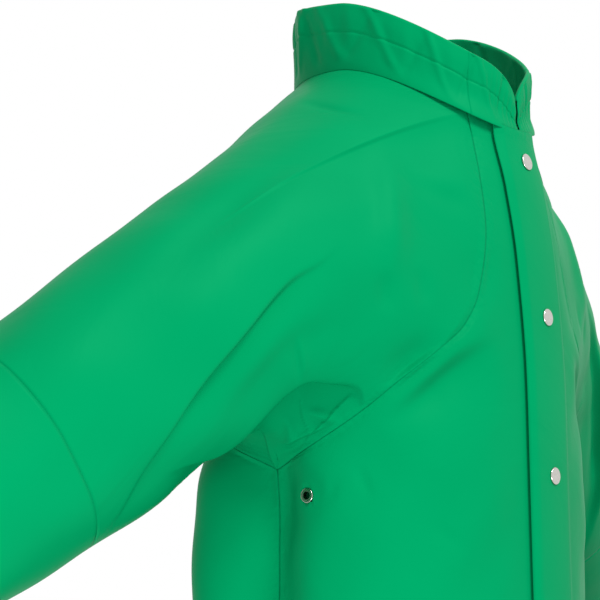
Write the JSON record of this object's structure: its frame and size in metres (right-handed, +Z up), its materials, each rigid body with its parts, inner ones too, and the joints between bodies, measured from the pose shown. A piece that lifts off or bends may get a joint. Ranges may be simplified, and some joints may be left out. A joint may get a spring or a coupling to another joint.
{
  "type": "protective gown",
  "caption": "Knee-length waterproof protective gown with a stand-up collar, raglan sleeves, vented underarms and a snap-fastened front.",
  "frame": {"origin": "inside top of the hang loop at the back of the neck, the point that bears on a hook", "axes": "+Z up with the gown worn or hung, the wearer faces -Y and the wearer's left is at +X"},
  "size_m": [1.4336, 0.4278, 1.1766],
  "materials": {
    "coated_fabric": "green polyurethane-coated knit, semi-matt, smooth face",
    "tape": "green coated tape, satin",
    "nickel_plate": "bright nickel plate on brass"
  },
  "bodies": {
    "root": {"back_panel": "coated_fabric", "front_panel_right": "coated_fabric", "front_panel_left": "coated_fabric", "sleeve_head_right": "coated_fabric", "sleeve_head_left": "coated_fabric", "collar_outer": "coated_fabric", "collar_facing": "coated_fabric", "collar_casing": "coated_fabric", "neck_tape": "tape", "hang_loop": "tape", "raglan_seam_tapes": "tape", "side_seam_tapes": "tape", "underarm_eyelets": "nickel_plate", "eyelet_washers": "nickel_plate", "hem_band_back": "coated_fabric"},
    "right_arm": {"sleeve_upper_right": "coated_fabric", "sleeve_elbow_right": "coated_fabric"},
    "left_arm": {"sleeve_upper_left": "coated_fabric", "sleeve_elbow_left": "coated_fabric"},
    "right_forearm": {"sleeve_forearm_right": "coated_fabric", "cuff_hem_right": "coated_fabric"},
    "left_forearm": {"sleeve_forearm_left": "coated_fabric", "cuff_hem_left": "coated_fabric"},
    "right_front": {"front_facing_right": "coated_fabric", "snap_studs": "nickel_plate", "snap_posts": "nickel_plate", "pocket_bag_right": "coated_fabric", "pocket_welt_right": "coated_fabric", "hem_band_front_right": "coated_fabric"},
    "left_front": {"front_facing_left": "coated_fabric", "snap_caps": "nickel_plate", "snap_sockets": "nickel_plate", "pocket_bag_left": "coated_fabric", "pocket_welt_left": "coated_fabric", "hem_band_front_left": "coated_fabric"}
  },
  "joints": [
    {"name": "right_shoulder", "type": "hinge", "parent": "root", "child": "right_arm", "pos_m": [-0.165, -0.073, -0.185], "axis": [0, 1, 0], "range_deg": [-10, 40], "deforming": ["sleeve_head_right"]},
    {"name": "left_shoulder", "type": "hinge", "parent": "root", "child": "left_arm", "pos_m": [0.165, -0.073, -0.185], "axis": [0, -1, 0], "range_deg": [-10, 40], "deforming": ["sleeve_head_left"]},
    {"name": "right_elbow", "type": "hinge", "parent": "right_arm", "child": "right_forearm", "pos_m": [-0.41866, 0.02949, -0.36953], "axis": [-0.5883, 0, 0.8087], "range_deg": [0, 60], "deforming": ["sleeve_elbow_right"]},
    {"name": "left_elbow", "type": "hinge", "parent": "left_arm", "child": "left_forearm", "pos_m": [0.41866, 0.02949, -0.36953], "axis": [-0.5883, 0, -0.8087], "range_deg": [0, 60], "deforming": ["sleeve_elbow_left"]},
    {"name": "left_front_opening", "type": "hinge", "parent": "root", "child": "left_front", "pos_m": [0.048, -0.185, -0.055], "axis": [-0.1392, -0.0431, 0.9893], "range_deg": [0, 80], "deforming": ["front_panel_left", "collar_outer", "collar_facing", "collar_casing"]},
    {"name": "right_front_opening", "type": "hinge", "parent": "root", "child": "right_front", "pos_m": [-0.048, -0.185, -0.055], "axis": [-0.1392, 0.0431, -0.9893], "range_deg": [0, 32], "deforming": ["front_panel_right"]}
  ],
  "couplings": [
    {"joint": "right_front_opening", "follows": "left_front_opening", "ratio": 0.4}
  ]
}
